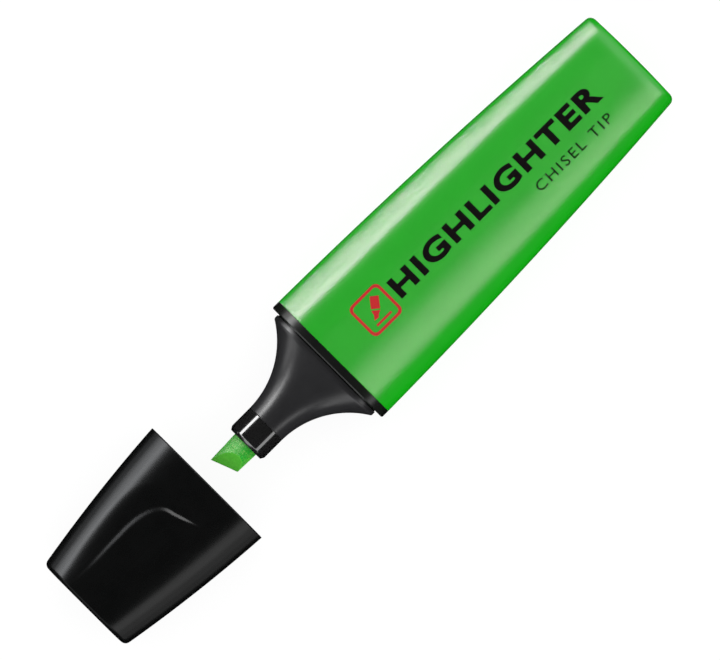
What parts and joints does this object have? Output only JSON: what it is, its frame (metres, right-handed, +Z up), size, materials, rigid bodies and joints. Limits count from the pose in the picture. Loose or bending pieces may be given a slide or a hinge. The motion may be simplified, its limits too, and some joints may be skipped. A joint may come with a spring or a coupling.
{
  "type": "capped highlighter pen",
  "caption": "Flat-bodied green highlighter pen with a chisel nib on a flared black neck, and a black push-on cap that slides on along the pen.",
  "frame": {"origin": "middle of the whole object in plan, on the surface that the pen and the cap lie on", "axes": "+X along the pen from the cap's closed end to the barrel's back end, +Y across the pen's width, +Z up through its thickness"},
  "size_m": [0.1342, 0.0268, 0.017],
  "materials": {
    "barrel_green": "glossy injection-moulded polypropylene",
    "section_black": "satin moulded plastic",
    "gloss_black": "glossy moulded plastic",
    "nib_fibre": "bonded polyester fibre soaked with green ink",
    "reservoir_fibre": "soft polyester fibre bundle soaked with ink",
    "film_clear": "thin clear film",
    "seal_natural": "natural polyethylene"
  },
  "bodies": {
    "pen": {"barrel": "barrel_green", "front_section": "section_black", "nozzle": "gloss_black", "nib": "nib_fibre", "ink_reservoir": "reservoir_fibre", "reservoir_film": "film_clear"},
    "cap": {"cap_shell": "gloss_black", "cap_seal": "seal_natural"}
  },
  "joints": [
    {"name": "cap_slide", "type": "slide", "parent": "pen", "child": "cap", "axis": [1, 0, 0], "range_m": [0, 0.0293]}
  ]
}
